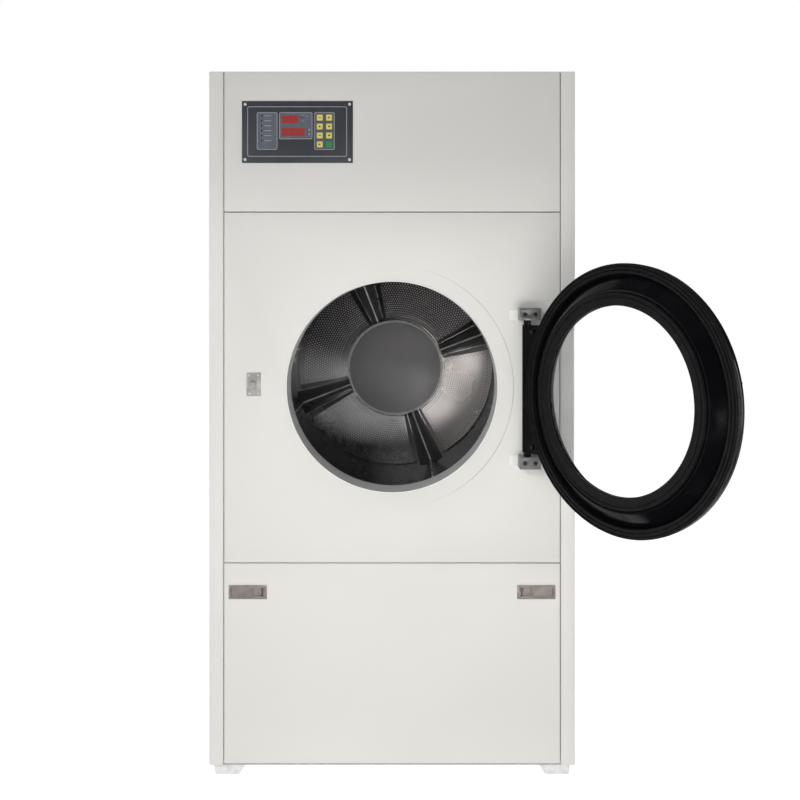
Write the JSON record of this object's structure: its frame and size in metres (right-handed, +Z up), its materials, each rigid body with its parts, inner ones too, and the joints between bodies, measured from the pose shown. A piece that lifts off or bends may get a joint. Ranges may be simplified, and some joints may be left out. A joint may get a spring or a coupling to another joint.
{
  "type": "industrial tumble dryer",
  "caption": "Free-standing cabinet tumble dryer with a glazed round door on a side hinge, perforated drum, keypad and tilting lower service panel.",
  "frame": {"origin": "on the floor, at the centre of the four anchor holes in the feet", "axes": "+Z up, +X to the right seen from the front, the front faces -Y"},
  "size_m": [1.2911, 1.7748, 1.93],
  "materials": {
    "cabinet_paint": "light grey textured powder coat",
    "zinc_sheet": "galvanised sheet",
    "foot_zinc": "bright galvanised sheet",
    "drum_steel": "satin stainless steel",
    "bright_steel": "plated steel",
    "hinge_metal": "grey cast hinge metal",
    "machined_steel": "machined steel",
    "casting_paint": "painted casting",
    "motor_paint": "blue-grey motor enamel",
    "door_black": "gloss black enamel",
    "black_rubber": "moulded rubber",
    "belt_rubber": "belt rubber",
    "clear_glass": "tempered glass",
    "felt": "wool felt",
    "overlay_plastic": "dark slate overlay film",
    "red_window": "red display filter",
    "key_yellow": "yellow membrane key",
    "key_green": "green membrane key",
    "board_green": "circuit board",
    "latch_metal": "taupe die-cast latch",
    "copper_brown": "oxidised heating tube"
  },
  "bodies": {
    "cabinet": {"cabinet_frame": "zinc_sheet", "corner_feet": "foot_zinc", "side_panel_left": "cabinet_paint", "side_panel_right": "cabinet_paint", "top_panel": "cabinet_paint", "rear_panel": "cabinet_paint", "rear_cover": "cabinet_paint", "control_panel": "cabinet_paint", "front_panel": "cabinet_paint", "door_collar": "cabinet_paint", "collar_seal": "felt", "control_overlay": "overlay_plastic", "display_windows": "red_window", "control_board": "board_green", "front_screws": "bright_steel", "hinge_blocks": "hinge_metal", "door_catch": "bright_steel", "bearing_housing": "casting_paint", "shaft_bearings": "machined_steel", "rear_bulkhead": "zinc_sheet", "drum_shroud": "zinc_sheet", "heater_coil": "copper_brown", "drive_motor": "motor_paint", "drive_belts": "belt_rubber", "blower_housing": "zinc_sheet", "fan_motor": "motor_paint", "exhaust_spigot": "zinc_sheet", "lint_shelf": "zinc_sheet"},
    "door": {"hinge_bar": "door_black", "door_ring": "door_black", "door_gasket": "black_rubber", "door_glass": "clear_glass", "glass_seal": "black_rubber", "door_bolts": "bright_steel"},
    "handle": {"door_handle": "bright_steel"},
    "drum": {"drum_shell": "drum_steel", "drum_back": "drum_steel", "air_screens": "drum_steel", "hub_disc": "drum_steel", "drum_lifters": "drum_steel", "drum_shaft": "machined_steel", "drum_pulley": "casting_paint"},
    "counter": {"countershaft": "casting_paint"},
    "motor_rotor": {"motor_pulley": "casting_paint"},
    "fan": {"blower_wheel": "drum_steel"},
    "service_panel": {"lower_panel": "cabinet_paint", "latch_frames": "latch_metal"},
    "drawer": {"lint_drawer": "drum_steel"},
    "lever_left": {"latch_lever_left": "latch_metal"},
    "button_left": {"latch_button_left": "latch_metal"},
    "lever_right": {"latch_lever_right": "latch_metal"},
    "button_right": {"latch_button_right": "latch_metal"},
    "key_1": {"key_1": "key_yellow"},
    "key_2": {"key_2": "key_yellow"},
    "key_3": {"key_3": "key_yellow"},
    "key_4": {"key_4": "key_yellow"},
    "key_5": {"key_5": "key_yellow"},
    "key_6": {"key_6": "key_yellow"},
    "key_7": {"key_7": "key_yellow"},
    "key_8": {"key_8": "key_green"}
  },
  "joints": [
    {"name": "door_hinge", "type": "hinge", "parent": "cabinet", "child": "door", "pos_m": [0.365, -0.59, 1.068], "axis": [0, 0, 1], "range_deg": [-127.5, 37.5]},
    {"name": "door_handle_turn", "type": "hinge", "parent": "door", "child": "handle", "pos_m": [0.75141, -1.1128, 1.0755], "axis": [0.7934, 0.6088, 0], "range_deg": [0, 90]},
    {"name": "drum_spin", "type": "hinge", "parent": "cabinet", "child": "drum", "pos_m": [0, 0, 1.068], "axis": [0, 1, 0], "continuous": true},
    {"name": "counter_spin", "type": "hinge", "parent": "cabinet", "child": "counter", "pos_m": [-0.27, 0.333, 0.76], "axis": [0, 1, 0], "continuous": true},
    {"name": "motor_spin", "type": "hinge", "parent": "cabinet", "child": "motor_rotor", "pos_m": [0.23, 0.333, 0.738], "axis": [0, 1, 0], "continuous": true},
    {"name": "fan_spin", "type": "hinge", "parent": "cabinet", "child": "fan", "pos_m": [-0.15, 0.33, 0.24], "axis": [1, 0, 0], "continuous": true},
    {"name": "service_panel_tilt", "type": "hinge", "parent": "cabinet", "child": "service_panel", "pos_m": [0, -0.545, 0.042], "axis": [1, 0, 0], "range_deg": [0, 85]},
    {"name": "drawer_slide", "type": "slide", "parent": "cabinet", "child": "drawer", "axis": [0, -1, 0], "range_m": [0, 0.45]},
    {"name": "latch_lever_left_hinge", "type": "hinge", "parent": "service_panel", "child": "lever_left", "pos_m": [-0.436, -0.5485, 0.508], "axis": [0, 0, -1], "range_deg": [0, 60]},
    {"name": "latch_button_left_push", "type": "slide", "parent": "service_panel", "child": "button_left", "axis": [0, 1, 0], "range_m": [0, 0.003], "stiffness_N_per_m": 300},
    {"name": "latch_lever_right_hinge", "type": "hinge", "parent": "service_panel", "child": "lever_right", "pos_m": [0.436, -0.5485, 0.508], "axis": [0, 0, 1], "range_deg": [0, 60]},
    {"name": "latch_button_right_push", "type": "slide", "parent": "service_panel", "child": "button_right", "axis": [0, 1, 0], "range_m": [0, 0.003], "stiffness_N_per_m": 300},
    {"name": "key_1_press", "type": "slide", "parent": "cabinet", "child": "key_1", "axis": [0, 1, 0], "range_m": [0, 0.0005], "stiffness_N_per_m": 400},
    {"name": "key_2_press", "type": "slide", "parent": "cabinet", "child": "key_2", "axis": [0, 1, 0], "range_m": [0, 0.0005], "stiffness_N_per_m": 400},
    {"name": "key_3_press", "type": "slide", "parent": "cabinet", "child": "key_3", "axis": [0, 1, 0], "range_m": [0, 0.0005], "stiffness_N_per_m": 400},
    {"name": "key_4_press", "type": "slide", "parent": "cabinet", "child": "key_4", "axis": [0, 1, 0], "range_m": [0, 0.0005], "stiffness_N_per_m": 400},
    {"name": "key_5_press", "type": "slide", "parent": "cabinet", "child": "key_5", "axis": [0, 1, 0], "range_m": [0, 0.0005], "stiffness_N_per_m": 400},
    {"name": "key_6_press", "type": "slide", "parent": "cabinet", "child": "key_6", "axis": [0, 1, 0], "range_m": [0, 0.0005], "stiffness_N_per_m": 400},
    {"name": "key_7_press", "type": "slide", "parent": "cabinet", "child": "key_7", "axis": [0, 1, 0], "range_m": [0, 0.0005], "stiffness_N_per_m": 400},
    {"name": "key_8_press", "type": "slide", "parent": "cabinet", "child": "key_8", "axis": [0, 1, 0], "range_m": [0, 0.0005], "stiffness_N_per_m": 400}
  ],
  "couplings": [
    {"joint": "counter_spin", "follows": "drum_spin", "ratio": 8.0342},
    {"joint": "motor_spin", "follows": "drum_spin", "ratio": 45.254},
    {"joint": "drawer_slide", "follows": "service_panel_tilt", "m_per_rad": 0.3}
  ]
}
